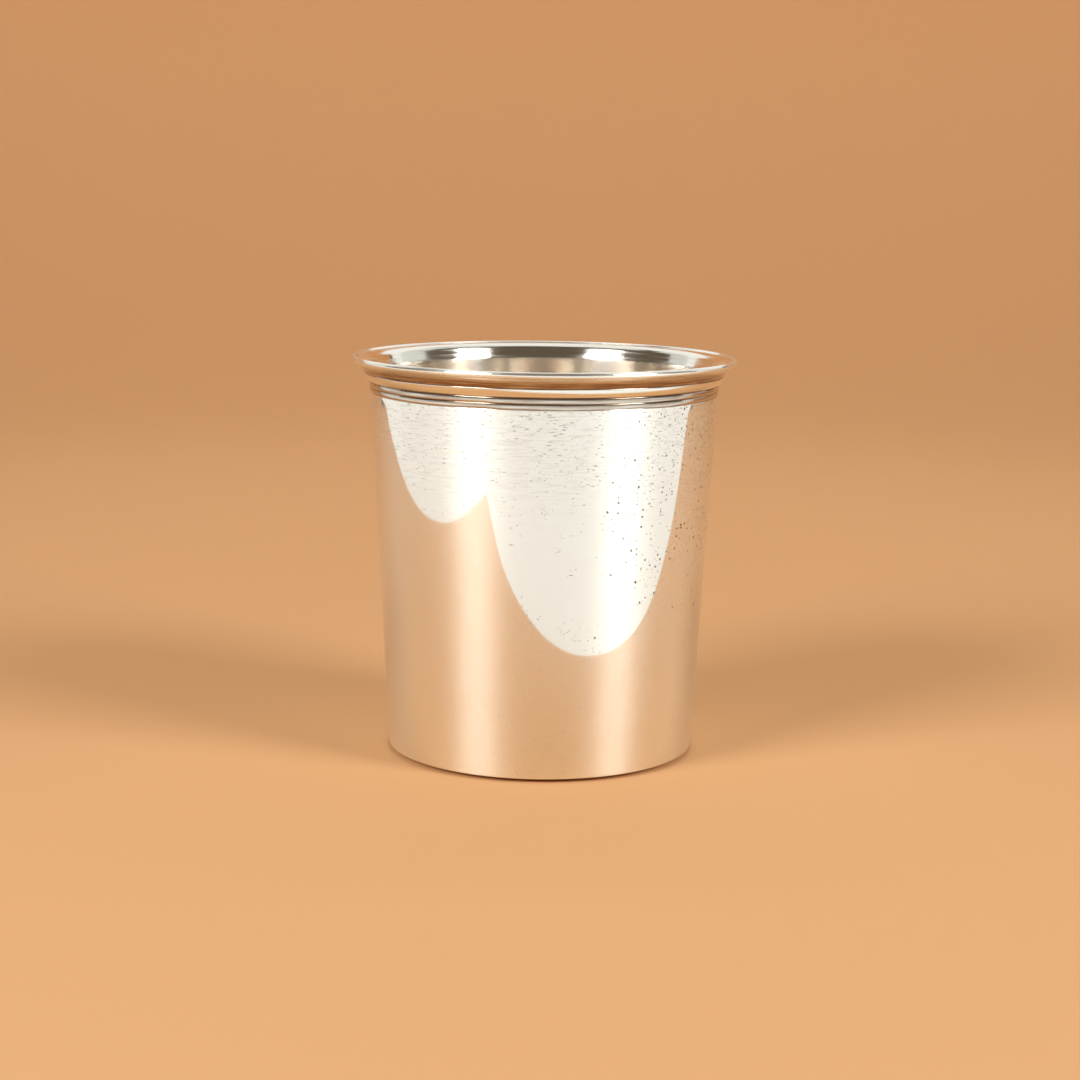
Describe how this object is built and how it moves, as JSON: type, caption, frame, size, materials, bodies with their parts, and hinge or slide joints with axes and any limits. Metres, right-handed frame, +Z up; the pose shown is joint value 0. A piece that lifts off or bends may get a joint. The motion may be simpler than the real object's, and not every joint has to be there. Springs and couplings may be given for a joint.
{
  "type": "silver beaker",
  "caption": "Straight tapered silver drinking beaker with a narrow rounded foot corner and a flared moulded rim of edge wire, cove, bead and reeds; stands on a flat foot ring and holds a drink.",
  "frame": {"origin": "middle of the flat foot ring, on the surface that the beaker stands on", "axes": "+Z up along the beaker's axis; the beaker is a body of revolution, and -Y is the side that the picture shows"},
  "size_m": [0.0772, 0.0772, 0.08],
  "materials": {
    "polished_silver": "sterling silver, polished, with fine circumferential polishing lines, pits and small scratches",
    "rim_silver": "sterling silver, polished on the crests and brown with tarnish in the grooves",
    "satin_silver": "sterling silver, satin from turning and wear",
    "silver_solder": "silver solder, slightly yellow and dull"
  },
  "bodies": {
    "root": {"body_wall": "polished_silver", "base_disc": "satin_silver", "base_solder": "silver_solder", "lower_reed": "rim_silver", "upper_reed": "rim_silver", "neck_bead": "rim_silver", "lip_ring": "rim_silver", "lip_wire": "polished_silver"}
  },
  "joints": []
}
